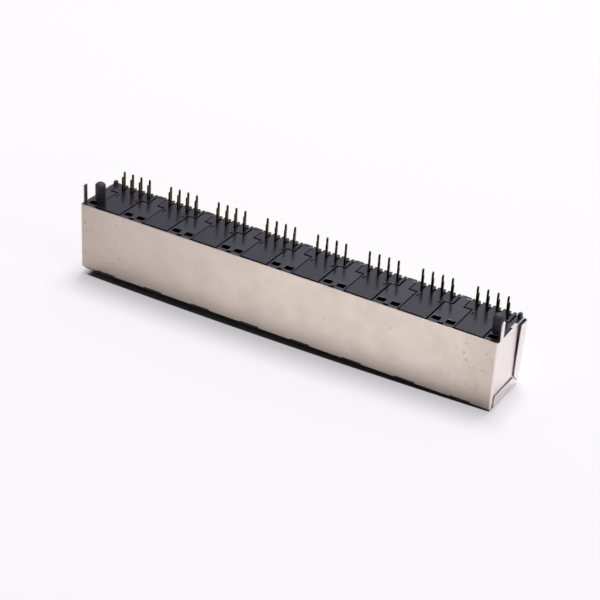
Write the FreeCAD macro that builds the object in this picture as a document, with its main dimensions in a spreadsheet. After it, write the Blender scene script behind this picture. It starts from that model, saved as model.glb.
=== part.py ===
"""Vertical row of shielded modular jacks for a circuit board, standing on its mating face.

Millimetres. X runs along the row of ports, Y from the latch side to the contact side, Z up from the
mating face to the solder tails. Each piece is drawn with Y counted from the outer face of the
latch-side plate, and its placement then centres the row on the origin.
"""
import FreeCAD, Part
import Sketcher
import os
import re

SHEET = "Sizes"
CLOSE = 1e-4
LEAST_CUT = 1e-3

# Driving dimensions: name, value in millimetres (or a count, or degrees), meaning
SIZES = [
    ("ports", 8, "plug openings in the row"),
    ("pitch", 13.97, "from one port to the next"),
    ("row_length", 113.0, "over the end wings"),
    ("depth", 15.0, "over the two long plates"),
    ("board_face", 17.84, "roof face towards the board, above the mating face"),
    ("gauge", 0.25, "thickness of the shield sheet"),
    ("bend", 0.5, "outer radius of the rear shell's corners"),
    ("fold", 1.0, "outer radius of the front shell's folds"),
    ("plate_foot", 0.42, "lower edge of the latch-side plate"),
    ("wing_reach", 14.1, "free edge of the end wings"),
    ("wing_foot", 1.0, "lower edge of the end wings"),
    ("notch_width", 5.2, "notch under each port in the latch-side plate"),
    ("notch_rise", 0.3, "height of that notch"),
    ("ground_start", 1.3, "near edge of the ground tail"),
    ("ground_width", 1.4, "width of the ground tail"),
    ("ground_rise", 4.6, "height of the ground tail above the board face"),
    ("ground_taper", 0.2, "corner cut at the ground tail's tip"),
    ("tab_start", 7.7, "near edge of the folded-over tab"),
    ("tab_length", 2.5, "length of that tab"),
    ("tab_reach", 0.7, "reach of that tab over the housing"),
    ("panel_edge", 1.2, "near edge of the mating panel"),
    ("far_plate_top", 17.2, "upper edge of the contact-side plate"),
    ("end_gap", 0.05, "gap between the end wings and the end flanges at the mating face"),
    ("end_lean", 0.45, "how far the end flanges lean out at their top"),
    ("foot_flange", 3.4, "height of the end flange folded up from the mating panel"),
    ("side_flange", 11.35, "near edge of the end flange folded from the contact-side plate"),
    ("mitre_gap", 0.25, "gap between those flanges, measured along either edge"),
    ("dimple_place", 13.0, "dimple in the side flange"),
    ("dimple_height", 14.7, "height of that dimple"),
    ("dimple_radius", 0.45, "radius of that dimple"),
    ("dimple_sink", 0.12, "depth of that dimple"),
    ("cavity_near", 5.9, "latch-side wall of the plug cavity"),
    ("cavity_far", 12.9, "contact-side wall of the plug cavity"),
    ("cavity_width", 11.65, "width of the plug cavity"),
    ("cavity_roof", 14.4, "closed end of the plug cavity"),
    ("latch_width", 6.3, "wide step of the latch notch"),
    ("latch_sink", 1.5, "depth of that step"),
    ("tongue_width", 3.4, "narrow step of the latch notch"),
    ("tongue_sink", 1.1, "depth of that step"),
    ("lip_inset", 1.0, "housing lip's distance from the end faces"),
    ("bar_top", 0.7, "top of the bar that covers the contact turns"),
    ("seat_width", 7.53, "narrow part of the insert's seat"),
    ("seat_step", 9.9, "where the seat widens to the cavity's width"),
    ("light_place", 2.36, "middle of the light channels"),
    ("light_offset", 1.76, "middle of a light channel from the port boundary"),
    ("light_width", 2.1, "light channel along the row"),
    ("light_depth", 1.65, "light channel across the row"),
    ("dent_width", 1.3, "dent in the roof's near edge between ports"),
    ("dent_depth", 1.0, "that dent across the row"),
    ("dent_sink", 0.8, "depth of that dent"),
    ("peg_place", 54.0, "board peg from the middle of the row"),
    ("peg_depth", 5.0, "board peg from the latch-side plate"),
    ("peg_radius", 1.3, "radius of the board peg"),
    ("peg_rise", 4.4, "height of the board peg above the board face"),
    ("peg_chamfer", 0.5, "chamfer of the board peg's tip"),
    ("hump_width", 2.3, "hump on the far end of each partition"),
    ("hump_depth", 0.9, "hump across the row"),
    ("hump_rise", 0.15, "height of the hump"),
    ("hump_chamfer", 0.1, "chamfer of the humps"),
    ("corner_width", 0.9, "hump in the far corners"),
    ("corner_depth", 1.0, "far corner hump across the row"),
    ("corner_rise", 1.0, "height of the far corner humps"),
    ("corner_inset", 0.6, "far corner hump from the contact-side plate"),
    ("insert_gap", 0.3, "gap around the contact insert"),
    ("near_gap", 0.45, "gap between the insert and the latch-side plate"),
    ("insert_rise", 0.1, "insert face above the roof face"),
    ("leg_foot", 1.2, "lower end of the insert's contact wall"),
    ("foot_chamfer", 0.5, "chamfer there, inside the contacts' turn"),
    ("slot_width", 0.6, "contact slot"),
    ("jog_sink", 1.0, "floor of the near row's slots under the insert face"),
    ("mark_place", 2.68, "marks in the insert face from the port's middle"),
    ("mark_middle", 8.85, "middle of those marks across the row"),
    ("mark_sink", 0.35, "depth of those marks"),
    ("groove_width", 0.5, "groove beside the first near contact, along the row"),
    ("groove_length", 1.6, "that groove across the row"),
    ("dot_side", 0.75, "square mark on the other side"),
    ("ways", 8, "contacts in each port"),
    ("wire", 0.45, "side of the square contact wire"),
    ("wire_pitch", 1.27, "from one contact to the next"),
    ("near_row", 11.74, "near row of solder tails"),
    ("far_row", 14.28, "far row of solder tails"),
    ("tail_rise", 3.86, "solder tail above the board face"),
    ("turn_cut", 0.6, "slant across each corner of the turn at the mating end"),
    ("turn_place", 13.2, "where the contact turns up into the cavity"),
    ("spring_lean", 12.5, "lean of the contact spring in degrees"),
    ("spring_top", 10.6, "height of the spring's free end"),
]

doc = FreeCAD.newDocument("JackRow")
sheet = doc.addObject("Spreadsheet::Sheet", SHEET)
for row, (alias, value, meaning) in enumerate(SIZES, start=1):
    sheet.set(f"A{row}", meaning)
    sheet.set(f"B{row}", str(value))
    sheet.setAlias(f"B{row}", alias)
doc.recompute()


def bound(text):
    """The expression with each of the sheet's names written in full."""
    names = "|".join(sorted((name for name, _, _ in SIZES), key=len, reverse=True))
    return re.sub(rf"\b({names})\b", rf"{SHEET}.\1", text)


def measure(text):
    """The present value of an expression."""
    return float(sheet.evalExpression(bound(text)))


# Drawing helpers


def new_body(node, middle="0"):
    """A body for one piece, centred across the row, with its own middle along the row."""
    body = doc.addObject("PartDesign::Body", node)
    body.Label = node
    body.setExpression("Placement.Base.x", bound(middle))
    body.setExpression("Placement.Base.y", bound("-depth / 2"))
    return body


def origin_item(body, role):
    """One of the body's own planes or axes."""
    return next(item for item in body.Origin.OriginFeatures if item.Role == role)


def new_sketch(body, name, offset="0", role="XY_Plane"):
    """An empty sketch on one of the body's planes, moved along its normal."""
    sketch = body.newObject("Sketcher::SketchObject", name)
    sketch.AttachmentSupport = (origin_item(body, role), [""])
    sketch.MapMode = "FlatFace"
    sketch.setExpression("AttachmentOffset.Base.z", bound(offset))
    return sketch


def hold_coordinate(sketch, kind, item, point, text):
    """Binds one coordinate of a sketch point to the sheet."""
    number = sketch.addConstraint(Sketcher.Constraint(kind, item, point, measure(text)))
    sketch.setExpression(f"Constraints[{number}]", bound(text))


def hold_point(sketch, item, point, place):
    """Binds both coordinates of a sketch point to the sheet."""
    hold_coordinate(sketch, "DistanceX", item, point, place[0])
    hold_coordinate(sketch, "DistanceY", item, point, place[1])


def vector(place):
    return FreeCAD.Vector(measure(place[0]), measure(place[1]), 0)


def draw_outline(sketch, corners):
    """A closed outline of straight lines through bound corners."""
    first = sketch.GeometryCount
    count = len(corners)
    for number, corner in enumerate(corners):
        line = Part.LineSegment(vector(corner), vector(corners[(number + 1) % count]))
        sketch.addGeometry(line)
    for number, corner in enumerate(corners):
        following = first + (number + 1) % count
        sketch.addConstraint(Sketcher.Constraint("Coincident", first + number, 2, following, 1))
        hold_point(sketch, first + number, 1, corner)


def draw_rectangle(sketch, left, right, low, high):
    draw_outline(sketch, [(left, low), (right, low), (right, high), (left, high)])


def draw_circle(sketch, place, radius):
    circle = Part.Circle(vector(place), FreeCAD.Vector(0, 0, 1), measure(radius))
    item = sketch.addGeometry(circle)
    hold_point(sketch, item, 3, place)
    number = sketch.addConstraint(Sketcher.Constraint("Radius", item, measure(radius)))
    sketch.setExpression(f"Constraints[{number}]", bound(radius))


def add_feature(body, kind, name, sketch, length, up):
    """A pad or pocket along Z (or along a sketch's own normal), upwards or downwards."""
    feature = body.newObject(f"PartDesign::{kind}", name)
    feature.Profile = sketch
    feature.setExpression("Length", bound(length))
    feature.Reversed = up if kind == "Pocket" else not up
    sketch.Visibility = False
    return feature


def pad(body, name, sketch, length, up=True):
    return add_feature(body, "Pad", name, sketch, length, up)


def pocket(body, name, sketch, length, up=False):
    return add_feature(body, "Pocket", name, sketch, length, up)


def pattern_along_row(body, name, originals, step, count):
    """Repeats features along X."""
    pattern = body.newObject("PartDesign::LinearPattern", name)
    pattern.Originals = originals
    pattern.Direction = (origin_item(body, "X_Axis"), [""])
    pattern.setExpression("Length", bound(f"({step}) * ({count} - 1)"))
    pattern.setExpression("Occurrences", bound(count))
    body.Tip = pattern
    return pattern


def mirror_ends(body, name, originals):
    """Repeats features of the right-hand end on the left-hand end."""
    mirror = body.newObject("PartDesign::Mirrored", name)
    mirror.Originals = originals
    mirror.MirrorPlane = (origin_item(body, "YZ_Plane"), [""])
    body.Tip = mirror
    return mirror


def dress_edges(body, kind, name, amount, wanted):
    """Rounds or chamfers those edges of the body whose middle point passes the test."""
    doc.recompute()
    base = body.Tip
    edges = [
        f"Edge{number}"
        for number, edge in enumerate(base.Shape.Edges, start=1)
        if wanted(edge, edge.CenterOfMass)
    ]
    dressed = body.newObject(f"PartDesign::{kind}", name)
    dressed.Base = (base, edges)
    dressed.setExpression("Radius" if kind == "Fillet" else "Size", bound(amount))
    return dressed


def round_edges(body, name, radius, wanted):
    return dress_edges(body, "Fillet", name, radius, wanted)


def chamfer_edges(body, name, size, wanted):
    return dress_edges(body, "Chamfer", name, size, wanted)


def runs_along(edge, axis):
    """True for a straight edge along one axis: 0 is X, 1 is Y, 2 is Z."""
    if edge.Curve.TypeId != "Part::GeomLine":
        return False
    direction = edge.Curve.Direction
    return abs(abs(direction[axis]) - 1) < CLOSE


def near(value, text):
    return abs(value - measure(text)) < CLOSE


# Plan outlines that several pieces share


def plug_outline(middle):
    """The plug opening: a broad body with a latch notch in two steps."""
    half, latch, tongue = "cavity_width / 2", "latch_width / 2", "tongue_width / 2"
    latch_floor = "cavity_near - latch_sink"
    tongue_floor = "cavity_near - latch_sink - tongue_sink"
    right_side = [
        (tongue, tongue_floor),
        (tongue, latch_floor),
        (latch, latch_floor),
        (latch, "cavity_near"),
        (half, "cavity_near"),
        (half, "cavity_far"),
    ]
    right = [(f"{middle} + {x}", y) for x, y in right_side]
    left = [(f"{middle} - {x}", y) for x, y in reversed(right_side)]
    return right + left


def seat_outline(middle, gap, near_edge, far_edge):
    """The contact insert's plan: narrow towards the latch, as wide as the cavity behind."""
    narrow, wide = f"seat_width / 2 - {gap}", f"cavity_width / 2 - {gap}"
    step = f"seat_step + {gap}"
    right_side = [(narrow, near_edge), (narrow, step), (wide, step), (wide, far_edge)]
    right = [(f"{middle} + ({x})", y) for x, y in right_side]
    left = [(f"{middle} - ({x})", y) for x, y in reversed(right_side)]
    return right + left


def draw_light_channels(sketch, middle):
    """The two light channels of one port, beside its latch notch."""
    low, high = "light_place - light_depth / 2", "light_place + light_depth / 2"
    for side in "-+":
        centre = f"{middle} {side} (pitch / 2 - light_offset)"
        draw_rectangle(sketch, f"{centre} - light_width / 2", f"{centre} + light_width / 2", low, high)


FIRST_PORT = "pitch * (1 - ports) / 2"
FIRST_BOUNDARY = "pitch * (2 - ports) / 2"
FIRST_FAR_WAY = "wire_pitch * (1 - ways) / 2"
FIRST_NEAR_WAY = "wire_pitch * (3 - ways) / 2"
INNER_BACK = "depth - gauge"
INNER_END = "row_length / 2 - gauge"
FLANGE_FOOT = "row_length / 2 + end_gap + gauge"
FLANGE_TOP = f"{FLANGE_FOOT} + end_lean"


def port_middle(port):
    return f"pitch * ({port} - (ports + 1) / 2)"


# Rear shell: latch-side plate with an end wing, ground tail and folded tab on each end


def make_rear_shell():
    body = new_body("rear_shell")
    plan = new_sketch(body, "WrapPlan", "plate_foot")
    outer = "row_length / 2"
    draw_outline(plan, [
        (f"-{outer}", "wing_reach"),
        (f"-{outer}", "0"),
        (outer, "0"),
        (outer, "wing_reach"),
        (INNER_END, "wing_reach"),
        (INNER_END, "gauge"),
        (f"-({INNER_END})", "gauge"),
        (f"-({INNER_END})", "wing_reach"),
    ])
    pad(body, "Wrap", plan, "board_face - plate_foot")
    round_edges(body, "OuterBends", "bend", lambda edge, at: runs_along(edge, 2) and near(at.y, "0"))
    round_edges(body, "InnerBends", "bend - gauge",
                lambda edge, at: runs_along(edge, 2) and near(at.y, "gauge"))

    relief = new_sketch(body, "WingFootPlan", "plate_foot")
    draw_rectangle(relief, f"-{outer} - gauge", f"{outer} + gauge", "bend", "wing_reach + gauge")
    pocket(body, "WingFoot", relief, "wing_foot - plate_foot", up=True)

    notch = new_sketch(body, "NotchPlan", "plate_foot")
    draw_rectangle(notch, f"{FIRST_PORT} - notch_width / 2", f"{FIRST_PORT} + notch_width / 2",
                   "-gauge", "2 * gauge")
    first_notch = pocket(body, "Notch", notch, "notch_rise", up=True)
    pattern_along_row(body, "Notches", [first_notch], "pitch", "ports")

    tail = new_sketch(body, "GroundTailSide", INNER_END, "YZ_Plane")
    start, end = "ground_start", "ground_start + ground_width"
    tip = "board_face + ground_rise"
    draw_outline(tail, [
        (start, "board_face"),
        (end, "board_face"),
        (end, f"{tip} - 2 * ground_taper"),
        (f"{end} - ground_taper", tip),
        (f"{start} + ground_taper", tip),
        (start, f"{tip} - 2 * ground_taper"),
    ])
    ground_tail = pad(body, "GroundTail", tail, "gauge")
    tab = new_sketch(body, "TabPlan", "board_face")
    draw_rectangle(tab, f"{outer} - tab_reach", outer, "tab_start", "tab_start + tab_length")
    folded_tab = pad(body, "FoldedTab", tab, "gauge")
    mirror_ends(body, "LeftEnd", [ground_tail, folded_tab])
    return body


# Front shell: mating panel with the plug openings, contact-side plate and mitred end flanges that stand
# outside the wings and lean out a little


def make_front_shell():
    body = new_body("front_shell")
    side = new_sketch(body, "TraySide", "-panel_edge", "XZ_Plane")
    draw_outline(side, [
        (f"-({FLANGE_FOOT})", "0"),
        (FLANGE_FOOT, "0"),
        (FLANGE_TOP, "far_plate_top"),
        (f"-({FLANGE_TOP})", "far_plate_top"),
    ])
    tray = pad(body, "Tray", side, "depth - panel_edge", up=False)
    doc.recompute()
    open_sides = [
        f"Face{number}"
        for number, face in enumerate(tray.Shape.Faces, start=1)
        if near(face.CenterOfMass.z, "far_plate_top") or near(face.CenterOfMass.y, "panel_edge")
    ]
    skin = body.newObject("PartDesign::Thickness", "Skin")
    skin.Base = (tray, open_sides)
    skin.Reversed = True
    skin.setExpression("Value", bound("gauge"))

    def round_folds(name, radius, back, floor):
        """Rounds the fold lines on one side of the sheet."""
        def is_fold(edge, at):
            at_end = abs(at.x) > measure(f"{FLANGE_FOOT} - 2 * gauge")
            return at_end + near(at.y, back) + near(at.z, floor) == 2

        round_edges(body, name, radius, is_fold)

    round_folds("InnerFolds", "fold - gauge", INNER_BACK, "gauge")
    round_folds("OuterFolds", "fold", "depth", "0")

    cut_reach = "end_lean + fold + gauge"
    window = new_sketch(body, "EndWindowSide", f"{FLANGE_TOP} + gauge", "YZ_Plane")
    draw_rectangle(window, "panel_edge - gauge", "side_flange", "foot_flange", "far_plate_top + gauge")
    end_window = pocket(body, "EndWindow", window, cut_reach)
    mitre = new_sketch(body, "MitreSide", f"{FLANGE_TOP} + gauge", "YZ_Plane")
    draw_outline(mitre, [
        ("side_flange - mitre_gap", "foot_flange"),
        ("side_flange", "foot_flange + mitre_gap"),
        ("side_flange + foot_flange + 2 * mitre_gap", "-mitre_gap"),
        ("side_flange + foot_flange", "-mitre_gap"),
    ])
    mitre_cut = pocket(body, "Mitre", mitre, cut_reach)
    relief = new_sketch(body, "CornerReliefSide", f"{FLANGE_TOP} + gauge", "YZ_Plane")
    draw_rectangle(relief, "depth - fold", "depth + gauge", "-gauge", "fold")
    corner_relief = pocket(body, "CornerRelief", relief, cut_reach)
    dimple_face = f"{FLANGE_FOOT} + end_lean * dimple_height / far_plate_top"
    dimple = new_sketch(body, "DimpleSide", dimple_face, "YZ_Plane")
    draw_circle(dimple, ("dimple_place", "dimple_height"), "dimple_radius")
    dimple_cut = pocket(body, "Dimple", dimple, "dimple_sink")
    mirror_ends(body, "LeftEndCuts", [end_window, mitre_cut, corner_relief, dimple_cut])

    plug = new_sketch(body, "OpeningPlan")
    draw_outline(plug, plug_outline(FIRST_PORT))
    draw_light_channels(plug, FIRST_PORT)
    opening = pocket(body, "Opening", plug, "2 * gauge", up=True)
    pattern_along_row(body, "Openings", [opening], "pitch", "ports")
    return body


# Housing: near wall, partitions, T-shaped roof blocks, board pegs


def make_housing():
    body = new_body("housing")
    block = new_sketch(body, "BlockPlan", "gauge")
    draw_rectangle(block, f"-({INNER_END})", INNER_END, "gauge", INNER_BACK)
    pad(body, "Block", block, "board_face - gauge")

    def is_fold(edge, at):
        at_end, at_back = near(abs(at.x), INNER_END), near(at.y, INNER_BACK)
        return at_end + at_back + near(at.z, "gauge") == 2

    chamfer_edges(body, "FoldCorners", "fold - gauge", is_fold)
    round_edges(body, "NearCorners", "bend - gauge",
                lambda edge, at: runs_along(edge, 2) and near(at.y, "gauge"))
    lip = new_sketch(body, "LipPlan")
    lip_end = "row_length / 2 - lip_inset"
    draw_rectangle(lip, f"-({lip_end})", lip_end, "gauge", "panel_edge")
    pad(body, "Lip", lip, "2 * gauge")

    cavity = new_sketch(body, "CavityPlan")
    draw_outline(cavity, plug_outline(FIRST_PORT))
    plug_cavity = pocket(body, "PlugCavity", cavity, "cavity_roof", up=True)
    bay = new_sketch(body, "ContactBayPlan", "bar_top")
    half = "cavity_width / 2"
    draw_rectangle(bay, f"{FIRST_PORT} - {half}", f"{FIRST_PORT} + {half}", "cavity_far - gauge", "depth")
    contact_bay = pocket(body, "ContactBay", bay, "cavity_roof - bar_top", up=True)
    seat = new_sketch(body, "SeatPlan", "cavity_roof")
    draw_outline(seat, seat_outline(FIRST_PORT, "0", "0", "depth"))
    insert_seat = pocket(body, "InsertSeat", seat, "board_face - cavity_roof + gauge", up=True)
    lights = new_sketch(body, "LightChannelPlan")
    draw_light_channels(lights, FIRST_PORT)
    channels = pocket(body, "LightChannels", lights, "board_face + gauge", up=True)
    pattern_along_row(body, "Ports", [plug_cavity, contact_bay, insert_seat, channels], "pitch", "ports")

    dent = new_sketch(body, "DentPlan", "board_face")
    draw_rectangle(dent, f"{FIRST_BOUNDARY} - dent_width / 2", f"{FIRST_BOUNDARY} + dent_width / 2",
                   "0", "gauge + dent_depth")
    first_dent = pocket(body, "Dent", dent, "dent_sink")
    pattern_along_row(body, "Dents", [first_dent], "pitch", "ports - 1")

    hump = new_sketch(body, "HumpPlan", "board_face")
    draw_rectangle(hump, f"{FIRST_BOUNDARY} - hump_width / 2", f"{FIRST_BOUNDARY} + hump_width / 2",
                   f"{INNER_BACK} - hump_depth", INNER_BACK)
    first_hump = pad(body, "Hump", hump, "hump_rise")
    pattern_along_row(body, "Humps", [first_hump], "pitch", "ports - 1")
    corner = new_sketch(body, "CornerHumpPlan", "board_face")
    corner_end, corner_back = f"{INNER_END} - gauge", f"{INNER_BACK} - corner_inset"
    draw_rectangle(corner, f"{corner_end} - corner_width", corner_end,
                   f"{corner_back} - corner_depth", corner_back)
    corner_hump = pad(body, "CornerHump", corner, "corner_rise")
    peg = new_sketch(body, "PegPlan", "board_face")
    draw_circle(peg, ("peg_place", "peg_depth"), "peg_radius")
    board_peg = pad(body, "BoardPeg", peg, "peg_rise")
    mirror_ends(body, "LeftEndPads", [corner_hump, board_peg])

    def is_hump_edge(edge, at):
        on_top = near(at.z, "board_face + hump_rise") or near(at.z, "board_face + corner_rise")
        return on_top and runs_along(edge, 1)

    chamfer_edges(body, "HumpEdges", "hump_chamfer", is_hump_edge)
    chamfer_edges(body, "PegTips", "peg_chamfer", lambda edge, at: near(at.z, "board_face + peg_rise"))
    return body


# Contact insert: face plate over the cavity, slotted wall behind it


def make_insert(port):
    body = new_body(f"contact_insert_{port}", port_middle(port))
    face = "board_face + insert_rise"
    plan = new_sketch(body, "FacePlan", "cavity_roof")
    draw_outline(plan, seat_outline("0", "insert_gap", "gauge + near_gap", INNER_BACK))
    pad(body, "FacePlate", plan, f"{face} - cavity_roof")
    wall = new_sketch(body, "ContactWallPlan", "leg_foot")
    half = "(cavity_width / 2 - insert_gap)"
    draw_rectangle(wall, f"-{half}", half, "cavity_far", INNER_BACK)
    pad(body, "ContactWall", wall, "cavity_roof - leg_foot")
    chamfer_edges(body, "CavityEdge", "foot_chamfer", lambda edge, at: runs_along(edge, 0)
                  and near(at.z, "leg_foot") and near(at.y, "cavity_far"))

    slot_floor = "far_row - wire / 2"
    slot = new_sketch(body, "SlotPlan", "leg_foot - gauge")
    draw_rectangle(slot, f"{FIRST_FAR_WAY} - slot_width / 2", f"{FIRST_FAR_WAY} + slot_width / 2",
                   slot_floor, "depth")
    first_slot = pocket(body, "Slot", slot, f"{face} - leg_foot + 2 * gauge", up=True)
    pattern_along_row(body, "Slots", [first_slot], "wire_pitch", "ways")
    jog = new_sketch(body, "JogPlan", face)
    draw_rectangle(jog, f"{FIRST_NEAR_WAY} - slot_width / 2", f"{FIRST_NEAR_WAY} + slot_width / 2",
                   "near_row - slot_width / 2", "depth")
    first_jog = pocket(body, "JogSlot", jog, "jog_sink")
    pattern_along_row(body, "JogSlots", [first_jog], "2 * wire_pitch", "ways / 2")
    chamfer_edges(body, "SlotFeet", "foot_chamfer", lambda edge, at: runs_along(edge, 0)
                  and near(at.z, "leg_foot") and near(at.y, slot_floor))

    marks = new_sketch(body, "MarkPlan", face)
    draw_rectangle(marks, "-mark_place - groove_width / 2", "-mark_place + groove_width / 2",
                   "mark_middle - groove_length / 2", "mark_middle + groove_length / 2")
    draw_rectangle(marks, "mark_place - dot_side / 2", "mark_place + dot_side / 2",
                   "mark_middle - dot_side / 2", "mark_middle + dot_side / 2")
    pocket(body, "Marks", marks, "mark_sink")
    return body


# Contacts: square wires from a solder tail down the slotted wall, round its foot and up into the cavity

TAIL_TIP = "board_face + tail_rise"
TURN = "leg_foot - wire / 2"
JOG = "board_face + insert_rise - jog_sink + wire / 2"


def draw_wire_route(sketch, corners):
    """An open chain of straight runs through bound corners."""
    for number, (start, end) in enumerate(zip(corners, corners[1:])):
        sketch.addGeometry(Part.LineSegment(vector(start), vector(end)))
        hold_point(sketch, number, 1, start)
        if number:
            sketch.addConstraint(Sketcher.Constraint("Coincident", number - 1, 2, number, 1))
    hold_point(sketch, number, 2, corners[-1])


def spring_route():
    """The turn round the contact wall's foot and the leaning spring."""
    above_turn = f"{TURN} + turn_cut"
    spring_foot = "turn_place - turn_cut"
    spring_reach = f"(spring_top - ({above_turn})) * tan(spring_lean)"
    return [
        ("far_row", above_turn),
        ("far_row - turn_cut", TURN),
        ("turn_place", TURN),
        (spring_foot, above_turn),
        (f"{spring_foot} - {spring_reach}", "spring_top"),
    ]


def make_contacts(node, port, first_way, row, route_above):
    """The contacts of one row of tails in one port, every second way."""
    body = new_body(node, f"{port_middle(port)} + {first_way}")
    route = new_sketch(body, "WireRoute", role="YZ_Plane")
    draw_wire_route(route, route_above + spring_route())
    section = new_sketch(body, "WireSection", TAIL_TIP)
    draw_rectangle(section, "-wire / 2", "wire / 2", f"{row} - wire / 2", f"{row} + wire / 2")
    wire = body.newObject("PartDesign::AdditivePipe", "Wire")
    wire.Profile = section
    wire.Spine = route
    wire.Transition = "Right corner"
    pattern_along_row(body, "Wires", [wire], "2 * wire_pitch", "ways / 2")


def make_far_contacts(port):
    """Contacts whose tails go straight up out of their slots."""
    make_contacts(f"far_contacts_{port}", port, FIRST_FAR_WAY, "far_row", [("far_row", TAIL_TIP)])


def make_near_contacts(port):
    """Contacts that jog towards the latch side, in the slots of the insert's face."""
    jog = [("near_row", TAIL_TIP), ("near_row", JOG), ("far_row", JOG)]
    make_contacts(f"near_contacts_{port}", port, FIRST_NEAR_WAY, "near_row", jog)


# The whole row, its checks and its files


def check_pieces(pieces):
    """Stops before anything is written if a feature failed, cut nothing or left a bad solid."""
    for item in doc.Objects:
        if "Invalid" in item.State or "Error" in item.State:
            raise RuntimeError(f"{item.Label} failed: {item.State}")
        if item.TypeId == "PartDesign::Pocket":
            if item.BaseFeature.Shape.Volume - item.Shape.Volume < LEAST_CUT:
                raise RuntimeError(f"{item.Label} cuts nothing")
    for piece in pieces:
        if piece.Shape.isNull() or not piece.Shape.isValid():
            raise RuntimeError(f"{piece.Label} has a bad shape")


make_rear_shell()
make_front_shell()
make_housing()
for port in range(1, int(measure("ports")) + 1):
    make_insert(port)
    make_far_contacts(port)
    make_near_contacts(port)
doc.recompute()

pieces = [item for item in doc.Objects if item.TypeId == "PartDesign::Body"]
check_pieces(pieces)
os.makedirs("parts", exist_ok=True)
for piece in pieces:
    piece.Shape.exportStep(f"parts/{piece.Label}.step")
    box = piece.Shape.BoundBox
    print(f"{piece.Label}: {len(piece.Shape.Solids)} solid(s), {piece.Shape.Volume:.1f} mm3, "
          f"{box.XLength:.2f} x {box.YLength:.2f} x {box.ZLength:.2f} mm")
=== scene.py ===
# %% [markdown]
# # Dressing a row of eight shielded jacks
# The part is a vertical row of modular jacks for a circuit board. It stands on its mating face, with
# its solder tails up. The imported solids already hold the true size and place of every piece, so no size
# here is measured by eye. The lesson adds what a solid model lacks: drawn wire with real bends, the
# softened edges of stamped sheet and moulded plastic, the finish of each surface, and soft studio
# light.

# %% Load the frame
import math

import bpy
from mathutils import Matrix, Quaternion, Vector


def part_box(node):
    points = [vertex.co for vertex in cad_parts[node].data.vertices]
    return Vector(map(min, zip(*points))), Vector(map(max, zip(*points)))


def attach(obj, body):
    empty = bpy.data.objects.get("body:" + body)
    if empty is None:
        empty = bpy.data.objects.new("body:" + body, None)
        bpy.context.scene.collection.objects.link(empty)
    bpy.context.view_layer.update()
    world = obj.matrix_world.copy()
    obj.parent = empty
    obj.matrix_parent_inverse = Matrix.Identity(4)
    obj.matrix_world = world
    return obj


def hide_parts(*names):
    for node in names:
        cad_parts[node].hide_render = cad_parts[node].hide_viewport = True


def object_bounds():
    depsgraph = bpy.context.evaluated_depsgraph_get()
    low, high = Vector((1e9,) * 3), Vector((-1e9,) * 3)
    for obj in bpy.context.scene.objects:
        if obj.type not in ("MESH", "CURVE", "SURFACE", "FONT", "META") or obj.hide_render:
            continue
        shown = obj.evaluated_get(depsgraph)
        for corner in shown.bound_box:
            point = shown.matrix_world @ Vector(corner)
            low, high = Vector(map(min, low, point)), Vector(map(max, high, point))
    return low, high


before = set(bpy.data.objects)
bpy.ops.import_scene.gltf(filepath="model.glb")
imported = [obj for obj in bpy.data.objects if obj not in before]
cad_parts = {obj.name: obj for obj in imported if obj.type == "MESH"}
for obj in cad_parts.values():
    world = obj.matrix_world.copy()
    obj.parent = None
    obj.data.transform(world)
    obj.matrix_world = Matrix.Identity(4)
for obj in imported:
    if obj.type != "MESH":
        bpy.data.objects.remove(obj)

MM = 0.001
solid_low, solid_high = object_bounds()
print("solids:", len(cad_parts), "nodes")
print("their box:", [round(side / MM, 2) for side in solid_high - solid_low], "mm")

# %% [markdown]
# ## The camera
# A row this long and low is usually shot from above one corner with a long lens, so that its edges stay
# nearly parallel. A camera can be placed by typing a position and three angles, but those say little to
# a reader. Here it hangs on a point of the latch-side plate, the one in the middle of the picture, and
# is swung round that point by an azimuth and an elevation. A small roll tilts the row the way the
# picture has it.

# %% Hang the camera on its aim point
AIM = Vector((6.49, -7.5, 11.94)) * MM
DISTANCE = 404.6 * MM
AZIMUTH, ELEVATION, ROLL = (math.radians(angle) for angle in (28.67, 30.37, 3.48))
LENS = 104.55
SENSOR = 36.0
CLIP_START = 10 * MM

towards_camera = Vector((
    math.sin(AZIMUTH) * math.cos(ELEVATION),
    -math.cos(AZIMUTH) * math.cos(ELEVATION),
    math.sin(ELEVATION),
))
camera_data = bpy.data.cameras.new("Product camera")
camera_data.sensor_width = SENSOR
camera_data.lens = LENS
camera_data.clip_start = CLIP_START
camera = bpy.data.objects.new("Product camera", camera_data)
camera.rotation_mode = "QUATERNION"
camera.location = AIM + towards_camera * DISTANCE
camera.rotation_quaternion = towards_camera.to_track_quat("Z", "Y") @ Quaternion((0, 0, 1), ROLL)
bpy.context.scene.collection.objects.link(camera)
bpy.context.scene.camera = camera
print("camera at", [round(place / MM, 1) for place in camera.location], "mm")

# %% [markdown]
# ## Helpers for every finish
# A colour picked from a chart is an sRGB hex value, while a shader works in linear light, so one
# function turns the first into the second. Another adds a node: what is given by name is set as a
# property, and each entry of inputs is a value to set or a socket to link. Trees of all kinds below are
# built with it. A third turns a size in millimetres into the scale of a pattern. The Mix node has its
# sockets once for numbers and once for colours, under the same names, so they are picked by their
# places.

# %% Colour, node and scale helpers
MIX_SHARE, NUMBER_A, NUMBER_B, COLOUR_A, COLOUR_B = 0, 2, 3, 6, 7
MIXED_NUMBER, MIXED_COLOUR = 0, 2


def linear(hex_colour):
    """An sRGB colour such as D8C8BA as linear red, green, blue and alpha."""
    channels = [int(hex_colour[place:place + 2], 16) / 255 for place in (0, 2, 4)]
    return [c / 12.92 if c <= 0.04045 else ((c + 0.055) / 1.055) ** 2.4 for c in channels] + [1.0]


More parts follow.
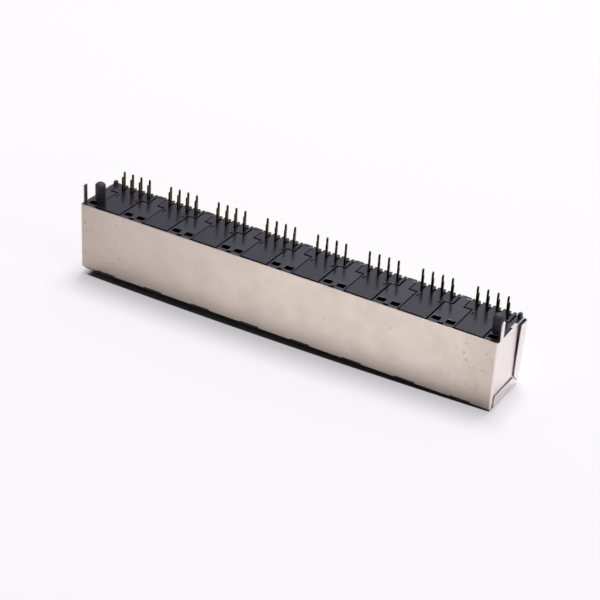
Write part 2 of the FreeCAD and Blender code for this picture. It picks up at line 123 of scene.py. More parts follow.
def add_node(tree, kind, inputs=None, **settings):
    """Adds one node with its settings, its values and its links."""
    node = tree.nodes.new(kind)
    for name, value in settings.items():
        setattr(node, name, value)
    for name, value in (inputs or {}).items():
        if isinstance(value, bpy.types.NodeSocket):
            tree.links.new(value, node.inputs[name])
        else:
            node.inputs[name].default_value = value
    return node


def per(size_mm):
    """The scale that makes a pattern repeat about once in so many millimetres."""
    return 1 / (size_mm * MM)


print("the middle grey of a chart is", round(linear("808080")[0], 3), "in linear light")

# %% [markdown]
# ## Floor and light
# The row stands on white paper. A single flat quad would do for a floor, but real paper gives way a
# little: here it sags in a shallow hollow under the plate's foot, and the row stands on its far edge
# and its right end. That leaves a dark line of shadow under the plate, widest left of the middle. A
# grid of points, close together near the row, follows a short formula for the hollow.

# %% Shape the hollow
HOLLOW_DEPTH = 1.9 * MM
HOLLOW_PLACE = -30 * MM
HOLLOW_HALF_LENGTH = 88 * MM
HOLLOW_FLAT, HOLLOW_REACH = 25 * MM, 170 * MM


def ease(share):
    """Goes smoothly from 0 to 1 as the share does."""
    share = min(max(share, 0), 1)
    return share * share * (3 - 2 * share)


def paper_height(x, y):
    """How high the paper lies at a place, with the row's foot at zero."""
    along = max(0, 1 - ((x - HOLLOW_PLACE) / HOLLOW_HALF_LENGTH) ** 2)
    under = min(max((solid_high.y - y) / (solid_high.y - solid_low.y), 0), 1)
    in_front = ease((HOLLOW_REACH - (solid_low.y - y)) / (HOLLOW_REACH - HOLLOW_FLAT))
    return -HOLLOW_DEPTH * along * under * in_front


foot_gap = -paper_height(HOLLOW_PLACE, solid_low.y)
print("the paper sags", round(foot_gap / MM, 2), "mm under the plate's foot")

# %% Lay the paper
PAPER_SIDE = 3000 * MM
FINE_STEP, COARSE_STEP = 3 * MM, 100 * MM


def paper_lines(fine_low, fine_high):
    """Where the grid's lines lie on one axis: close together in the fine stretch, wide apart outside it."""
    edge = PAPER_SIDE / 2
    fine_count = int((fine_high - fine_low) / FINE_STEP) + 1
    coarse_count = int(PAPER_SIDE / COARSE_STEP) + 1
    fine = [fine_low + FINE_STEP * number for number in range(fine_count)]
    coarse = [COARSE_STEP * number - edge for number in range(coarse_count)]
    return sorted(fine + [line for line in coarse if not fine_low < line < fine_high])


columns = paper_lines(HOLLOW_PLACE - HOLLOW_HALF_LENGTH, HOLLOW_PLACE + HOLLOW_HALF_LENGTH)
lines = paper_lines(solid_low.y - HOLLOW_REACH, solid_high.y)
corners = [(x, y, paper_height(x, y)) for y in lines for x in columns]
wide = len(columns)
cells = [(first, first + 1, first + wide + 1, first + wide)
         for row in range(len(lines) - 1) for first in range(row * wide, row * wide + wide - 1)]
paper_mesh = bpy.data.meshes.new("Paper")
paper_mesh.from_pydata(corners, [], cells)
paper_mesh.shade_smooth()
paper = bpy.data.objects.new("paper_floor", paper_mesh)
bpy.context.scene.collection.objects.link(paper)
print("paper of", len(cells), "cells")

# %% [markdown]
# Catalogue pictures lighten the paper until it is nearly white, and keep only a soft shadow. More light
# would bleach the part too, so the paper glows a little for the camera alone, as Light Path tells it.
# Metal still mirrors the paper with its full shadow. Under the row nothing glows, and the paper is
# painted grey there as painted shade, so that the gap under the plate goes as dark as a real one does.
# That stops sharply at the plate's foot, and fades out towards the left end, where light gets in. A ramp
# for each side of the row, all multiplied, tells what lies under it.

# %% Find what the row covers
GAP_INSET, GAP_EDGE, GAP_FADE = 0.95 * MM, 0.1 * MM, 2.4 * MM

paper_white = bpy.data.materials.new("White seamless paper")
paper_white.use_nodes = True
sheet = paper_white.node_tree
spot = add_node(sheet, "ShaderNodeSeparateXYZ", inputs={
    "Vector": add_node(sheet, "ShaderNodeTexCoord").outputs["Object"]})
sides = [
    ("X", solid_low.x + GAP_INSET, solid_low.x + GAP_INSET + GAP_FADE),
    ("X", solid_high.x - GAP_INSET, solid_high.x - GAP_INSET - GAP_EDGE),
    ("Y", solid_low.y, solid_low.y + GAP_EDGE),
    ("Y", solid_high.y - GAP_INSET, solid_high.y - GAP_INSET - GAP_EDGE),
]
ramps = [
    add_node(sheet, "ShaderNodeMapRange", interpolation_type="SMOOTHSTEP", inputs={
        "Value": spot.outputs[axis], "From Min": outside, "From Max": inside}).outputs["Result"]
    for axis, outside, inside in sides
]
covered = ramps[0]
for ramp in ramps[1:]:
    covered = add_node(sheet, "ShaderNodeMath", operation="MULTIPLY",
                       inputs={0: covered, 1: ramp}).outputs["Value"]
print("paper is covered where", len(ramps), "ramps meet")

# %% Give the paper its white and its painted shade
# The grey under the row is painted shade, not a colour of the paper.
PAPER_COLOUR, GAP_SHADE_COLOUR = "FCFAFD", "7A7A7E"
PAPER_ROUGHNESS, PAPER_GLOSS = 0.9, 0.0
PAPER_GLOW, GAP_GLOW = 0.45, 0.0

paper_shader = sheet.nodes["Principled BSDF"]
paper_shader.inputs["Roughness"].default_value = PAPER_ROUGHNESS
paper_shader.inputs["Specular IOR Level"].default_value = PAPER_GLOSS
shaded_paper = add_node(sheet, "ShaderNodeMix", data_type="RGBA", inputs={
    MIX_SHARE: covered, COLOUR_A: linear(PAPER_COLOUR), COLOUR_B: linear(GAP_SHADE_COLOUR)})
sheet.links.new(shaded_paper.outputs[MIXED_COLOUR], paper_shader.inputs["Base Color"])
seen = add_node(sheet, "ShaderNodeLightPath").outputs["Is Camera Ray"]
glow = add_node(sheet, "ShaderNodeMapRange", inputs={
    "Value": covered, "To Min": PAPER_GLOW, "To Max": GAP_GLOW})
glow_seen = add_node(sheet, "ShaderNodeMath", operation="MULTIPLY",
                     inputs={0: glow.outputs["Result"], 1: seen})
white = add_node(sheet, "ShaderNodeEmission", inputs={"Color": linear(PAPER_COLOUR)})
lightened = add_node(sheet, "ShaderNodeMixShader", inputs={
    0: glow_seen.outputs["Value"], 1: paper_shader.outputs["BSDF"], 2: white.outputs["Emission"]})
sheet.links.new(lightened.outputs["Shader"], sheet.nodes["Material Output"].inputs["Surface"])
paper_mesh.materials.append(paper_white)
print("paper glows", PAPER_GLOW, "for the camera")

# %% [markdown]
# One softbox hangs above the row and a little behind it, so the shadow is a soft band along the front.
# The plated sheet shows hardly any light of its own: it mirrors the paper in front of it, and darkens
# downwards because the paper lies in shadow there. The softbox and the world share the light so that
# they add up to about one, the level at which a colour comes out as it is written. The power of a lamp
# that gives a share of that level follows from its distance and its tilt.

# %% Hang the softbox
SOFTBOX_SHARE = 0.66
SOFTBOX_SIDE = 520 * MM
SOFTBOX_PLACE = Vector((-60, 350, 1180)) * MM

softbox_data = bpy.data.lights.new("Softbox", "AREA")
softbox_data.size = SOFTBOX_SIDE
softbox_tilt = SOFTBOX_PLACE.z / SOFTBOX_PLACE.length
softbox_data.energy = SOFTBOX_SHARE * (math.pi * SOFTBOX_PLACE.length) ** 2 / softbox_tilt
softbox = bpy.data.objects.new("Softbox", softbox_data)
softbox.location = SOFTBOX_PLACE
softbox.rotation_mode = "QUATERNION"
softbox.rotation_quaternion = SOFTBOX_PLACE.to_track_quat("Z", "Y")
bpy.context.scene.collection.objects.link(softbox)
print("softbox", round(softbox_data.energy, 2), "W, share", SOFTBOX_SHARE)

# %% [markdown]
# The world is the studio around it: white behind the row, where the backdrop hangs, and dim on the
# camera's side. That keeps the shadow under the plate dark, and turns the tails nearly black, as they
# mirror the dim side and the black roof. Gloss and metal see the room at full strength, with the cool
# tone of its walls, and dimmer at the left, where the backdrop ends, so that the roof lightens from
# left to right. Matt surfaces get a share of the room as fill, and the camera sees plain white.

# %% Make the world
FILL = 0.5
ROOM_DIM = 0.18
ROOM_COLOUR, FILL_COLOUR = "E4E1F2", "FFFFFF"
DIM_FROM, WHITE_FROM = -0.7, 0.1
LEFT_DIM, LEFT_FROM, LEFT_TO = 0.5, -0.58, -0.28
SEEN_STRENGTH = 1.0

world = bpy.data.worlds.new("Studio")
world.use_nodes = True
bpy.context.scene.world = world
sky = world.node_tree
rays = add_node(sky, "ShaderNodeLightPath")
mirrored = add_node(sky, "ShaderNodeMath", operation="MAXIMUM", inputs={
    0: rays.outputs["Is Glossy Ray"], 1: rays.outputs["Is Transmission Ray"]}).outputs["Value"]
direction = add_node(sky, "ShaderNodeSeparateXYZ", inputs={
    "Vector": add_node(sky, "ShaderNodeTexCoord").outputs["Generated"]})
room = add_node(sky, "ShaderNodeMapRange", interpolation_type="SMOOTHSTEP", inputs={
    "Value": direction.outputs["Y"], "From Min": DIM_FROM, "From Max": WHITE_FROM, "To Min": ROOM_DIM})
left = add_node(sky, "ShaderNodeMapRange", inputs={
    "Value": direction.outputs["X"], "From Min": LEFT_FROM, "From Max": LEFT_TO, "To Min": LEFT_DIM})
share = add_node(sky, "ShaderNodeMix", inputs={
    MIX_SHARE: mirrored, NUMBER_A: FILL, NUMBER_B: left.outputs["Result"]})
unseen = add_node(sky, "ShaderNodeMath", operation="MULTIPLY", inputs={
    0: room.outputs["Result"], 1: share.outputs[MIXED_NUMBER]})
strength = add_node(sky, "ShaderNodeMix", inputs={
    MIX_SHARE: rays.outputs["Is Camera Ray"], NUMBER_A: unseen.outputs["Value"], NUMBER_B: SEEN_STRENGTH})
tone = add_node(sky, "ShaderNodeMix", data_type="RGBA", inputs={
    MIX_SHARE: mirrored, COLOUR_A: linear(FILL_COLOUR), COLOUR_B: linear(ROOM_COLOUR)})
backdrop = sky.nodes["Background"]
sky.links.new(tone.outputs[MIXED_COLOUR], backdrop.inputs["Color"])
sky.links.new(strength.outputs[MIXED_NUMBER], backdrop.inputs["Strength"])
bpy.context.scene.view_settings.view_transform = "Standard"
print("fill", FILL, "and", ROOM_DIM, "on the dim side")

# %% [markdown]
# ## Satin nickel on the shield
# The shells are stamped from thin copper alloy and nickel-plated in a barrel. That gives a warm grey
# metal with a satin sheen: nearly even, with a faint grain along the strip from rolling and cloudy
# patches. On top of that comes painted shade: the plate is darker towards its left end and towards the
# bends. It could be one flat grey, but that would look like paint. One metal shader carries it all.
# First comes the tone: a broad noise sets the warm patches, and two ramps along the row add the painted
# shade at the left end and at the bends.

# %% Tone the nickel
NICKEL_BRIGHT, NICKEL_WARM, NICKEL_LEFT_SHADE, PAINTED_BEND_SHADE = "E7DACF", "E0D3C6", "C7B9B1", "9A8A7D"
WARM_FROM, WARM_FULL = 0.35, 0.65
# Both ramps below darken the plate with painted shade.
LEFT_SHADE_FROM, LEFT_SHADE_END = 15 * MM, -60 * MM
SHADE_FROM, SHADE_FULL, SHADE_SHARE = 44 * MM, 56 * MM, 0.23


def nickel_tone(tree, cloud, along, outward):
    """The plate's colour: cloudy patches, with painted shade towards the left end and towards the bends."""
    patches = add_node(tree, "ShaderNodeMapRange", inputs={
        "Value": cloud, "From Min": WARM_FROM, "From Max": WARM_FULL})
    tint = add_node(tree, "ShaderNodeMix", data_type="RGBA", inputs={
        MIX_SHARE: patches.outputs["Result"],
        COLOUR_A: linear(NICKEL_BRIGHT), COLOUR_B: linear(NICKEL_WARM)})
    # Painted shade towards the left end.
    left_shade = add_node(tree, "ShaderNodeMapRange", interpolation_type="SMOOTHSTEP", inputs={
        "Value": along, "From Min": LEFT_SHADE_FROM, "From Max": LEFT_SHADE_END})
    left_shaded = add_node(tree, "ShaderNodeMix", data_type="RGBA", inputs={
        MIX_SHARE: left_shade.outputs["Result"],
        COLOUR_A: tint.outputs[MIXED_COLOUR], COLOUR_B: linear(NICKEL_LEFT_SHADE)})
    # Painted shade towards the bends.
    bend = add_node(tree, "ShaderNodeMapRange", interpolation_type="SMOOTHSTEP", inputs={
        "Value": outward, "From Min": SHADE_FROM, "From Max": SHADE_FULL, "To Max": SHADE_SHARE})
    shaded = add_node(tree, "ShaderNodeMix", data_type="RGBA", inputs={
        MIX_SHARE: bend.outputs["Result"],
        COLOUR_A: left_shaded.outputs[MIXED_COLOUR], COLOUR_B: linear(PAINTED_BEND_SHADE)})
    return shaded.outputs[MIXED_COLOUR]


print("nickel goes from", NICKEL_BRIGHT, "to", NICKEL_LEFT_SHADE)

# %% [markdown]
# Fingers hold a long row by its ends, and leave small smudges on the plate there. They are the peaks of
# a fine noise, let through only near the ends. The end wings, round the bend, get painted light: a
# lighter, cooler tone that stands in for the brighter light they catch. A few specks from the plating
# bath lie anywhere: they are the middles of round cells, wide apart.

# %% Mark the nickel
SMUDGE, SMUDGE_DETAIL = 1.3, 2.0
SMUDGE_FROM, SMUDGE_FULL, SMUDGE_SHARE = 0.61, 0.74, 0.42
HELD_FROM, HELD_FULL = 38 * MM, 50 * MM
WING_FROM, WING_FULL = solid_high.x - 1.3 * MM, solid_high.x - 0.9 * MM
SPECK_APART, SPECK_SHARE = 3.5, 0.04
NICKEL_WING_LIT, NICKEL_SPECK = "F2E9E7", "8D7F74"


def nickel_marks(tree, place, outward, colour):
    """The colour with smudges near the ends, painted light on the wings and a few specks."""
    touch = add_node(tree, "ShaderNodeTexNoise", inputs={
        "Vector": place, "Scale": per(SMUDGE), "Detail": SMUDGE_DETAIL})
    smudge = add_node(tree, "ShaderNodeMapRange", inputs={
        "Value": touch.outputs["Fac"],
        "From Min": SMUDGE_FROM, "From Max": SMUDGE_FULL, "To Max": SMUDGE_SHARE})
    held = add_node(tree, "ShaderNodeMapRange", interpolation_type="SMOOTHSTEP", inputs={
        "Value": outward, "From Min": HELD_FROM, "From Max": HELD_FULL})
    handled = add_node(tree, "ShaderNodeMath", operation="MULTIPLY", inputs={
        0: smudge.outputs["Result"], 1: held.outputs["Result"]})
    smudged = add_node(tree, "ShaderNodeMix", data_type="RGBA", inputs={
        MIX_SHARE: handled.outputs["Value"], COLOUR_A: colour, COLOUR_B: linear(NICKEL_SPECK)})
    # The wings' lighter, cooler tone is painted light.
    wing_light = add_node(tree, "ShaderNodeMapRange", interpolation_type="SMOOTHSTEP", inputs={
        "Value": outward, "From Min": WING_FROM, "From Max": WING_FULL})
    wing_lit = add_node(tree, "ShaderNodeMix", data_type="RGBA", inputs={
        MIX_SHARE: wing_light.outputs["Result"],
        COLOUR_A: smudged.outputs[MIXED_COLOUR], COLOUR_B: linear(NICKEL_WING_LIT)})
    spots = add_node(tree, "ShaderNodeTexVoronoi", inputs={"Vector": place, "Scale": per(SPECK_APART)})
    speck = add_node(tree, "ShaderNodeMath", operation="LESS_THAN", inputs={
        0: spots.outputs["Distance"], 1: SPECK_SHARE})
    specked = add_node(tree, "ShaderNodeMix", data_type="RGBA", inputs={
        MIX_SHARE: speck.outputs["Value"],
        COLOUR_A: wing_lit.outputs[MIXED_COLOUR], COLOUR_B: linear(NICKEL_SPECK)})
    return specked.outputs[MIXED_COLOUR]


print("smudges start", round(HELD_FROM / MM), "mm from the middle")

# %% [markdown]
# The sheen follows the same clouds as the warm patches, because a handled spot is both warmer and
# duller. The rolling grain is a noise stretched along the strip, and only lifts the surface a little.
# The real grain is finer than a pixel, so it is drawn about four times as coarse.

# %% Make the nickel
CLOUD, CLOUD_DETAIL, CLOUD_ROUGHNESS = 4.5, 5.0, 0.6
SHEEN_FROM, SHEEN_FULL = 0.3, 0.7
SATIN_LOW, SATIN_HIGH = 0.28, 0.38
GRAIN_ALONG, GRAIN_ACROSS, GRAIN_DETAIL = 2.4, 0.2, 3.0
GRAIN_STRENGTH, GRAIN_RELIEF = 0.12, 0.01 * MM


def satin_nickel():
    """Barrel-plated nickel: a satin metal with tone, marks and grain."""
    material = bpy.data.materials.new("Satin nickel plate")
    material.use_nodes = True
    tree = material.node_tree
    shader = tree.nodes["Principled BSDF"]
    shader.inputs["Metallic"].default_value = 1.0
    place = add_node(tree, "ShaderNodeTexCoord").outputs["Object"]
    along = add_node(tree, "ShaderNodeSeparateXYZ", inputs={"Vector": place}).outputs["X"]
    outward = add_node(tree, "ShaderNodeMath", operation="ABSOLUTE", inputs={0: along}).outputs["Value"]
    cloud = add_node(tree, "ShaderNodeTexNoise", inputs={
        "Vector": place, "Scale": per(CLOUD),
        "Detail": CLOUD_DETAIL, "Roughness": CLOUD_ROUGHNESS}).outputs["Fac"]
    colour = nickel_marks(tree, place, outward, nickel_tone(tree, cloud, along, outward))
    sheen = add_node(tree, "ShaderNodeMapRange", inputs={
        "Value": cloud, "From Min": SHEEN_FROM, "From Max": SHEEN_FULL,
        "To Min": SATIN_LOW, "To Max": SATIN_HIGH})
    strip = add_node(tree, "ShaderNodeMapping", inputs={
        "Vector": place, "Scale": (per(GRAIN_ALONG), per(GRAIN_ACROSS), per(GRAIN_ACROSS))})
    grain = add_node(tree, "ShaderNodeTexNoise", inputs={
        "Vector": strip.outputs["Vector"], "Scale": 1.0, "Detail": GRAIN_DETAIL})
    relief = add_node(tree, "ShaderNodeBump", inputs={
        "Height": grain.outputs["Fac"], "Strength": GRAIN_STRENGTH, "Distance": GRAIN_RELIEF})
    tree.links.new(colour, shader.inputs["Base Color"])
    tree.links.new(sheen.outputs["Result"], shader.inputs["Roughness"])
    tree.links.new(relief.outputs["Normal"], shader.inputs["Normal"])
    return material


nickel = satin_nickel()
print("made", nickel.name, "with", len(nickel.node_tree.nodes), "nodes")

# %% [markdown]
# ## Black mouldings
# The housing and the contact inserts are glass-filled polyester, moulded black. The moulds are
# fine-ground, so the faces are a little glossy: they blur the white room to dark grey and mirror the
# tails as soft streaks. Two tools moulded them, so the inserts are a touch duller than the housing. The
# board pegs come out of turned bores that nobody polished: above the roof the surface is matt, and
# looks blacker. Two plain blacks would do from afar. One function makes both mouldings instead, from a
# colour, a roughness and a fine mould texture, with flow marks that stir the gloss.

# %% Make the plastics
POLYESTER_IOR = 1.57
HOUSING_COLOUR, HOUSING_ROUGHNESS, HOUSING_GLOSS = "090911", 0.2, 0.8
INSERT_COLOUR, INSERT_ROUGHNESS, INSERT_GLOSS = "08080F", 0.21, 0.62
MOULD_TEXTURE, TEXTURE_DETAIL = 0.35, 2.0
TEXTURE_STRENGTH, TEXTURE_RELIEF = 0.1, 0.02 * MM
FLOW_MARK, FLOW_DETAIL, FLOW_TINT = 6.0, 4.0, "12121C"
FLOW_FROM, FLOW_FULL = 0.3, 0.7
GLOSSIER, DULLER = 0.04, 0.06
MATT_FROM, MATT_FULL, MATT_ROUGHNESS = 18.0 * MM, 18.2 * MM, 0.7


def moulded_polyester(name, colour, roughness, gloss_level):
    """Black moulded plastic: a little glossy, with flow marks, and matt above the roof."""
    material = bpy.data.materials.new(name)
    material.use_nodes = True
    tree = material.node_tree
    shader = tree.nodes["Principled BSDF"]
    shader.inputs["IOR"].default_value = POLYESTER_IOR
    shader.inputs["Specular IOR Level"].default_value = gloss_level
    place = add_node(tree, "ShaderNodeTexCoord").outputs["Object"]
    flow = add_node(tree, "ShaderNodeTexNoise", inputs={
        "Vector": place, "Scale": per(FLOW_MARK), "Detail": FLOW_DETAIL}).outputs["Fac"]
    tint = add_node(tree, "ShaderNodeMix", data_type="RGBA", inputs={
        MIX_SHARE: flow, COLOUR_A: linear(colour), COLOUR_B: linear(FLOW_TINT)})
    gloss = add_node(tree, "ShaderNodeMapRange", inputs={
        "Value": flow, "From Min": FLOW_FROM, "From Max": FLOW_FULL,
        "To Min": roughness - GLOSSIER, "To Max": roughness + DULLER})
    height = add_node(tree, "ShaderNodeSeparateXYZ", inputs={"Vector": place}).outputs["Z"]
    matt = add_node(tree, "ShaderNodeMapRange", inputs={
        "Value": height, "From Min": MATT_FROM, "From Max": MATT_FULL})
    surface = add_node(tree, "ShaderNodeMix", inputs={
        MIX_SHARE: matt.outputs["Result"], NUMBER_A: gloss.outputs["Result"], NUMBER_B: MATT_ROUGHNESS})
    texture = add_node(tree, "ShaderNodeTexNoise", inputs={
        "Vector": place, "Scale": per(MOULD_TEXTURE), "Detail": TEXTURE_DETAIL})
    relief = add_node(tree, "ShaderNodeBump", inputs={
        "Height": texture.outputs["Fac"], "Strength": TEXTURE_STRENGTH, "Distance": TEXTURE_RELIEF})
    tree.links.new(tint.outputs[MIXED_COLOUR], shader.inputs["Base Color"])
    tree.links.new(surface.outputs[MIXED_NUMBER], shader.inputs["Roughness"])
    tree.links.new(relief.outputs["Normal"], shader.inputs["Normal"])
    return material


housing_black = moulded_polyester(
    "Black moulded polyester, housing", HOUSING_COLOUR, HOUSING_ROUGHNESS, HOUSING_GLOSS)
insert_black = moulded_polyester(
    "Black moulded polyester, inserts", INSERT_COLOUR, INSERT_ROUGHNESS, INSERT_GLOSS)
print("made", housing_black.name, "and", insert_black.name)

# %% [markdown]
# ## Plating on the contact wires
# Contact wire is drawn phosphor bronze. Gold costs money, so only the spring that meets the plug gets a
# flash of it. The tail's dark olive is partly a thin finish that solder takes to, and partly painted
# shade: it is darkened for the black roof that it mirrors. Two materials would need a cut through every
# wire. One metal shader can hold both, with a change of colour at the height where the plating stops,
# inside the housing. Drawing leaves fine lines on the wire, which only stir the roughness.

# %% Make the plating
# The tail's dark colour is partly its finish and partly painted shade.
SPRING_GOLD, TAIL_OLIVE_AND_SHADE = "C7A057", "5D4D2E"
GOLD_UP_TO, TAIL_FROM = 14 * MM, 16 * MM
DRAW_LINE, DRAW_DETAIL = 0.15, 2.0
DRAWN_LOW, DRAWN_HIGH = 0.1, 0.2


def plated_wire():
    """Drawn bronze wire, gold on the spring and dark olive on the tail, partly painted shade."""
    material = bpy.data.materials.new("Bronze wire with gold flash on the spring")
    material.use_nodes = True
    tree = material.node_tree
    shader = tree.nodes["Principled BSDF"]
    shader.inputs["Metallic"].default_value = 1.0
    place = add_node(tree, "ShaderNodeTexCoord").outputs["Object"]
    height = add_node(tree, "ShaderNodeSeparateXYZ", inputs={"Vector": place}).outputs["Z"]
    plating = add_node(tree, "ShaderNodeMapRange", interpolation_type="SMOOTHSTEP", inputs={
        "Value": height, "From Min": GOLD_UP_TO, "From Max": TAIL_FROM})
    tint = add_node(tree, "ShaderNodeMix", data_type="RGBA", inputs={
        MIX_SHARE: plating.outputs["Result"],
        COLOUR_A: linear(SPRING_GOLD), COLOUR_B: linear(TAIL_OLIVE_AND_SHADE)})
    drawn = add_node(tree, "ShaderNodeTexNoise", inputs={
        "Vector": place, "Scale": per(DRAW_LINE), "Detail": DRAW_DETAIL})
    sheen = add_node(tree, "ShaderNodeMapRange", inputs={
        "Value": drawn.outputs["Fac"], "To Min": DRAWN_LOW, "To Max": DRAWN_HIGH})
    tree.links.new(tint.outputs[MIXED_COLOUR], shader.inputs["Base Color"])
    tree.links.new(sheen.outputs["Result"], shader.inputs["Roughness"])
    return material


wire_plating = plated_wire()
print("made", wire_plating.name)

# %% [markdown]
# ## The contact wires
# Each port has eight formed wires. A wire comes down from its solder tail, runs behind the insert,
# turns round the insert's foot and springs up into the plug opening. The near row also jogs sideways
# near the roof. The solids draw the bends as plain corners. A rule describes the real ones, one route
# swept with one section and repeated, so Geometry Nodes fit well: a polyline is filleted, swept with a
# rounded square that narrows at both tips, and set out along the port.

# %% Sweep one wire
EDGE_STEPS = 2
TIP_POINTS = 1
FULL_WIDTH = 1.0


def swept_wire(tree, given):
    """One wire: its route with rounded bends, swept with a rounded square that narrows at both tips."""
    line = add_node(tree, "GeometryNodeMeshToCurve", inputs={"Mesh": given["Route"]})
    bent = add_node(tree, "GeometryNodeFilletCurve", mode="POLY", inputs={
        "Curve": line.outputs["Curve"], "Count": given["Bend steps"], "Radius": given["Bend radius"],
        "Limit Radius": True})
    square = add_node(tree, "GeometryNodeCurvePrimitiveQuadrilateral", inputs={
        "Width": given["Wire side"], "Height": given["Wire side"]})
    section = add_node(tree, "GeometryNodeFilletCurve", mode="POLY", inputs={
        "Curve": square.outputs["Curve"], "Count": EDGE_STEPS, "Radius": given["Edge radius"],
        "Limit Radius": True})
    tips = add_node(tree, "GeometryNodeCurveEndpointSelection", inputs={
        "Start Size": TIP_POINTS, "End Size": TIP_POINTS})
    width = add_node(tree, "GeometryNodeSwitch", input_type="FLOAT", inputs={
        "Switch": tips.outputs["Selection"], "False": FULL_WIDTH, "True": given["Tip share"]})
    wire = add_node(tree, "GeometryNodeCurveToMesh", inputs={
        "Curve": bent.outputs["Curve"], "Profile Curve": section.outputs["Curve"],
        "Scale": width.outputs["Output"], "Fill Caps": True})
    return wire.outputs["Mesh"]


print("a wire's edge is rounded in", EDGE_STEPS, "steps")

# %% Set the wires out in a row
def build_wire_tree():
    """The tree that makes one wire and sets it out along its port."""
    tree = bpy.data.node_groups.new("Row of formed wires", "GeometryNodeTree")
    face = tree.interface
    face.new_socket("Route", in_out="INPUT", socket_type="NodeSocketGeometry")
    for name in ("Wire side", "Edge radius", "Bend radius", "Tip share", "First wire", "Spacing"):
        face.new_socket(name, in_out="INPUT", socket_type="NodeSocketFloat")
    for name in ("Wires", "Bend steps"):
        face.new_socket(name, in_out="INPUT", socket_type="NodeSocketInt")
    face.new_socket("Finish", in_out="INPUT", socket_type="NodeSocketMaterial")
    face.new_socket("Wires", in_out="OUTPUT", socket_type="NodeSocketGeometry")

    given = add_node(tree, "NodeGroupInput").outputs
    start = add_node(tree, "ShaderNodeCombineXYZ", inputs={"X": given["First wire"]})
    step = add_node(tree, "ShaderNodeCombineXYZ", inputs={"X": given["Spacing"]})
    places = add_node(tree, "GeometryNodeMeshLine", inputs={
        "Count": given["Wires"], "Start Location": start.outputs["Vector"],
        "Offset": step.outputs["Vector"]})
    row = add_node(tree, "GeometryNodeInstanceOnPoints", inputs={
        "Points": places.outputs["Mesh"], "Instance": swept_wire(tree, given)})
    real = add_node(tree, "GeometryNodeRealizeInstances", inputs={"Geometry": row.outputs["Instances"]})
    plated = add_node(tree, "GeometryNodeSetMaterial", inputs={
        "Geometry": real.outputs["Geometry"], "Material": given["Finish"]})
    add_node(tree, "NodeGroupOutput", inputs={"Wires": plated.outputs["Geometry"]})
    return tree


wire_tree = build_wire_tree()
print("wire tree has", len(wire_tree.nodes), "nodes")

# %% [markdown]
# The routes come from the solids' own boxes: the tail's tip, the far row and the turn at the foot are
# the outer faces less half a wire. Only the jog, the lean and the bend are added. Each route starts at
# the tail's tip.

# %% Draw the two routes
WIRE = 0.45 * MM
ROWS_APART = 2.54 * MM
JOG_HEIGHT = 17.165 * MM
SPRING_FOOT, SPRING_TOP = 5.233 * MM, 10.6 * MM
SPRING_LEAN = math.radians(12.5)
TIP_LENGTH = 0.35 * MM

far_low, far_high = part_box("far_contacts_1")
tail_tip = far_high.z
far_row = far_high.y - WIRE / 2
near_row = far_row - ROWS_APART
turn = far_low.z + WIRE / 2
spring_end = Vector((0, SPRING_FOOT - (SPRING_TOP - turn) * math.tan(SPRING_LEAN), SPRING_TOP))
spring_way = Vector((0, -math.sin(SPRING_LEAN), math.cos(SPRING_LEAN)))
round_the_foot = [
    (0, far_row, turn),
    (0, SPRING_FOOT, turn),
    spring_end - spring_way * TIP_LENGTH,
    spring_end,
]
far_tail = [(0, far_row, tail_tip), (0, far_row, tail_tip - TIP_LENGTH)]
near_tail = [(0, near_row, tail_tip), (0, near_row, tail_tip - TIP_LENGTH)]
jog = [(0, near_row, JOG_HEIGHT), (0, far_row, JOG_HEIGHT)]
routes = {"far": far_tail + round_the_foot, "near": near_tail + jog + round_the_foot}
print("tail rows at", round(near_row / MM, 3), "and", round(far_row / MM, 3), "mm")

# %% [markdown]
# The tree runs once for each row of a port, and its result is kept as a plain mesh that stands for the
# solid's wires. A modifier's inputs are set by the identifier of the socket, not by its name. The
# contacts of a port are numbered across both rows, so each row holds every second one.

# %% Sweep the wires of every port
PORTS = 8
WIRES_IN_ROW = 4
CONTACT_PITCH = 1.27 * MM
WIRE_EDGE = WIRE / 12
BEND, BEND_STEPS = 0.6 * MM, 6
TIP_SHARE = 0.7


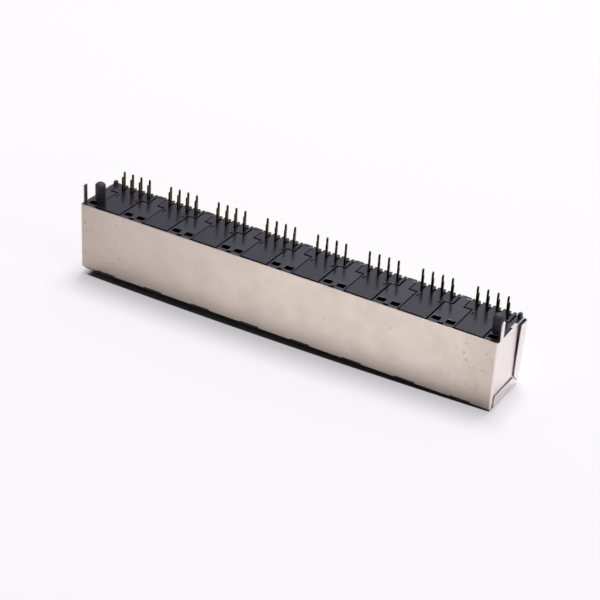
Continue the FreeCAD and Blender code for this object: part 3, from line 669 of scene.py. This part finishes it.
def make_wires(row, port):
    """The four wires of one row in one port, as a plain mesh in the place of the solid's."""
    node = f"{row}_contacts_{port}"
    points = routes[row]
    mesh = bpy.data.meshes.new(f"{row}_wires_{port}")
    mesh.from_pydata(points, [(number, number + 1) for number in range(len(points) - 1)], [])
    piece = bpy.data.objects.new(f"{row}_wires_{port}", mesh)
    bpy.context.scene.collection.objects.link(piece)
    low_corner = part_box(node)[0]
    sizes = {
        "Wire side": WIRE, "Edge radius": WIRE_EDGE, "Tip share": TIP_SHARE,
        "Bend radius": BEND, "Bend steps": BEND_STEPS,
        "First wire": low_corner.x + WIRE / 2, "Spacing": 2 * CONTACT_PITCH, "Wires": WIRES_IN_ROW,
        "Finish": wire_plating,
    }
    sweep = piece.modifiers.new("Sweep", "NODES")
    sweep.node_group = wire_tree
    for socket in wire_tree.interface.items_tree:
        if socket.in_out == "INPUT" and socket.name in sizes:
            sweep[socket.identifier] = sizes[socket.name]
    swept = piece.evaluated_get(bpy.context.evaluated_depsgraph_get())
    piece.data = bpy.data.meshes.new_from_object(swept)
    piece.modifiers.remove(sweep)
    piece.modifiers.new("Flat faces, soft edges", "WEIGHTED_NORMAL")
    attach(piece, "root")
    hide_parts(node)
    return piece


wires = [make_wires(row, port) for row in routes for port in range(1, PORTS + 1)]
print(len(wires), "rows of wire,", len(wires[0].data.polygons), "faces in the first")

# %% [markdown]
# ## Soft edges on sheet and mouldings
# No stamped or moulded edge is sharp: a sheet's cut edge is rolled over by a few hundredths of a
# millimetre, and a mould's corner is rounded. Those edges catch the light as thin lines. New meshes
# could be drawn for that, but the solids are right as they are. Modifiers join their loose triangles,
# merge the flat ones, round every real edge and keep the faces flat.

# %% Soften and dress the solids
SHEET_EDGE, MOULD_EDGE = 0.05 * MM, 0.1 * MM
EDGE_SEGMENTS = 2
EDGE_ANGLE = math.radians(35)
FLAT_ANGLE = math.radians(0.5)
SAME_POINT = 0.001 * MM


def dress(node, edge, finish):
    """Softens the edges of a solid and gives it its finish."""
    weld = node.modifiers.new("Join triangles", "WELD")
    weld.merge_threshold = SAME_POINT
    flat = node.modifiers.new("Merge flat faces", "DECIMATE")
    flat.decimate_type = "DISSOLVE"
    flat.angle_limit = FLAT_ANGLE
    soft = node.modifiers.new("Soft edges", "BEVEL")
    soft.width = edge
    soft.segments = EDGE_SEGMENTS
    soft.limit_method = "ANGLE"
    soft.angle_limit = EDGE_ANGLE
    soft.use_clamp_overlap = False
    node.modifiers.new("Flat faces, soft edges", "WEIGHTED_NORMAL")
    node.data.materials.clear()
    node.data.materials.append(finish)


for name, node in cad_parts.items():
    if "shell" in name:
        dress(node, SHEET_EDGE, nickel)
    elif name == "housing":
        dress(node, MOULD_EDGE, housing_black)
    elif "insert" in name:
        dress(node, MOULD_EDGE, insert_black)
print("dressed", [name for name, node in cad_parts.items() if node.modifiers])
